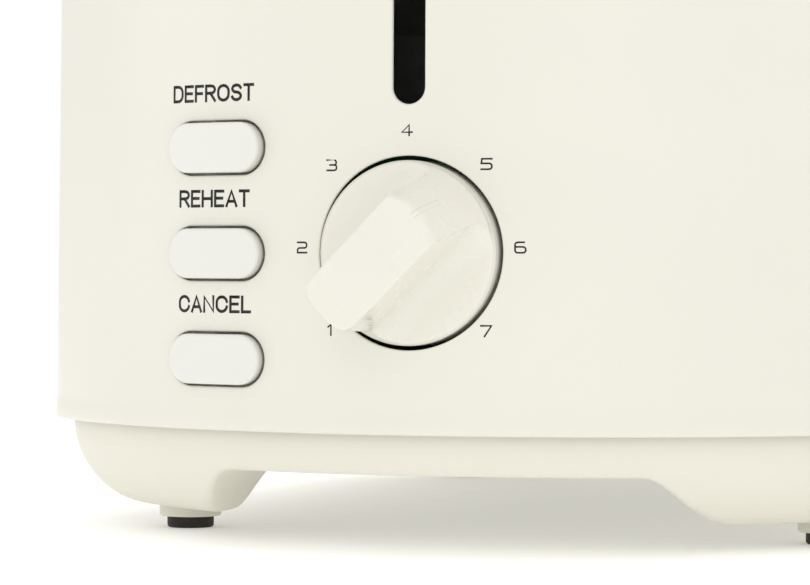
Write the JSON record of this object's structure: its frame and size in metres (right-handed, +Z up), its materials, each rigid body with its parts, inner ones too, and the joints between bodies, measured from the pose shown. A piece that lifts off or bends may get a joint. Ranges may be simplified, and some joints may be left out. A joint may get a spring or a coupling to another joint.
{
  "type": "pop up toaster",
  "caption": "Long-bodied pop-up bread toaster with bowed ends, lift lever, browning knob, push buttons, hinged bread guards and a slide-out crumb tray.",
  "frame": {"origin": "on the table under the middle of the whole object's box", "axes": "+Z up, the controls and lever face -Y, the crumb tray and cord outlet face +Y, +X is to the right seen from the front"},
  "size_m": [0.2, 0.3272, 0.19],
  "materials": {
    "ivory_plastic": "satin moulded, warm ivory",
    "base_plastic": "fine satin, warm ivory",
    "knob_plastic": "smooth satin ivory",
    "button_plastic": "smooth satin, slightly whiter than the casing",
    "foot_rubber": "dull black",
    "black_rubber": "dull black",
    "dark_plastic": "dull black",
    "brown_phenolic": "dull brown",
    "white_nylon": "dull white",
    "circuit_board": "green lacquer",
    "zinc_steel": "zinc-coated, dull",
    "ground_steel": "satin",
    "bare_iron": "bare, dull",
    "bright_aluminium": "bright rolled sheet",
    "brass_bush": "satin",
    "copper_winding": "enamelled copper wire",
    "mica": "pale brown sheet",
    "nichrome": "oxidised",
    "chromed_wire": "bright wire",
    "brown_insulation": "smooth",
    "blue_insulation": "smooth",
    "white_insulation": "woven glass sleeve"
  },
  "bodies": {
    "chassis": {"casing_front": "ivory_plastic", "casing_rear": "ivory_plastic", "casing_left": "ivory_plastic", "casing_right": "ivory_plastic", "casing_top": "ivory_plastic", "base": "base_plastic", "foot_front_left": "foot_rubber", "foot_front_right": "foot_rubber", "foot_rear_left": "foot_rubber", "foot_rear_right": "foot_rubber", "potentiometer": "dark_plastic", "control_board": "circuit_board", "board_parts": "dark_plastic", "button_switches": "dark_plastic", "guide_rod": "ground_steel", "lift_spring": "ground_steel", "magnet_core": "bare_iron", "magnet_coil": "copper_winding", "mains_switch": "brown_phenolic", "switch_contacts": "brass_bush", "front_plate": "zinc_steel", "rear_plate": "zinc_steel", "reflector_left": "bright_aluminium", "reflector_right": "bright_aluminium", "slot_liner_left": "ground_steel", "slot_liner_right": "ground_steel", "cord_bush": "black_rubber", "terminal_block": "white_nylon", "live_wire": "brown_insulation", "neutral_wire": "blue_insulation", "heater_leads": "white_insulation", "base_screws": "ground_steel", "chassis_screws": "ground_steel", "heater_board_1": "mica", "heating_ribbon_1": "nichrome", "heater_board_2": "mica", "heating_ribbon_2": "nichrome", "heater_board_3": "mica", "heating_ribbon_3": "nichrome", "heater_board_4": "mica", "heating_ribbon_4": "nichrome"},
    "knob": {"browning_knob": "knob_plastic", "knob_shaft": "zinc_steel"},
    "defrost": {"defrost_button": "button_plastic"},
    "reheat": {"reheat_button": "button_plastic"},
    "cancel": {"cancel_button": "button_plastic"},
    "carriage": {"lever_grip": "knob_plastic", "lever_stem": "zinc_steel", "carriage_plate": "zinc_steel", "guide_sleeve": "brass_bush", "keeper_plate": "bare_iron", "bread_rack_left": "zinc_steel", "bread_rack_right": "zinc_steel"},
    "tray": {"crumb_tray": "zinc_steel", "tray_pull": "ivory_plastic"},
    "guard_1": {"bread_guard_1": "chromed_wire"},
    "guard_2": {"bread_guard_2": "chromed_wire"},
    "guard_3": {"bread_guard_3": "chromed_wire"},
    "guard_4": {"bread_guard_4": "chromed_wire"}
  },
  "joints": [
    {"name": "carriage_slide", "type": "slide", "parent": "chassis", "child": "carriage", "axis": [0, 0, -1], "range_m": [0, 0.055], "stiffness_N_per_m": 80, "springref_m": -0.06, "deforming": ["lift_spring"]},
    {"name": "knob_turn", "type": "hinge", "parent": "chassis", "child": "knob", "pos_m": [0, -0.1344, 0.0578], "axis": [0, 1, 0], "range_deg": [0, 270]},
    {"name": "defrost_press", "type": "slide", "parent": "chassis", "child": "defrost", "axis": [0, 1, 0], "range_m": [0, 0.0015], "stiffness_N_per_m": 600, "springref_m": -0.001},
    {"name": "reheat_press", "type": "slide", "parent": "chassis", "child": "reheat", "axis": [0, 1, 0], "range_m": [0, 0.0015], "stiffness_N_per_m": 600, "springref_m": -0.001},
    {"name": "cancel_press", "type": "slide", "parent": "chassis", "child": "cancel", "axis": [0, 1, 0], "range_m": [0, 0.0015], "stiffness_N_per_m": 600, "springref_m": -0.001},
    {"name": "tray_slide", "type": "slide", "parent": "chassis", "child": "tray", "axis": [0, 1, 0], "range_m": [0, 0.19]},
    {"name": "guard_1_tilt", "type": "hinge", "parent": "chassis", "child": "guard_1", "pos_m": [-0.048, 0.0106, 0.042], "axis": [0, 1, 0], "range_deg": [0, 5]},
    {"name": "guard_2_tilt", "type": "hinge", "parent": "chassis", "child": "guard_2", "pos_m": [-0.012, 0.0106, 0.042], "axis": [0, -1, 0], "range_deg": [0, 5]},
    {"name": "guard_3_tilt", "type": "hinge", "parent": "chassis", "child": "guard_3", "pos_m": [0.012, 0.0106, 0.042], "axis": [0, 1, 0], "range_deg": [0, 5]},
    {"name": "guard_4_tilt", "type": "hinge", "parent": "chassis", "child": "guard_4", "pos_m": [0.048, 0.0106, 0.042], "axis": [0, -1, 0], "range_deg": [0, 5]}
  ],
  "couplings": [
    {"joint": "guard_1_tilt", "follows": "carriage_slide", "rad_per_m": 1.58},
    {"joint": "guard_2_tilt", "follows": "carriage_slide", "rad_per_m": 1.58},
    {"joint": "guard_3_tilt", "follows": "carriage_slide", "rad_per_m": 1.58},
    {"joint": "guard_4_tilt", "follows": "carriage_slide", "rad_per_m": 1.58}
  ]
}
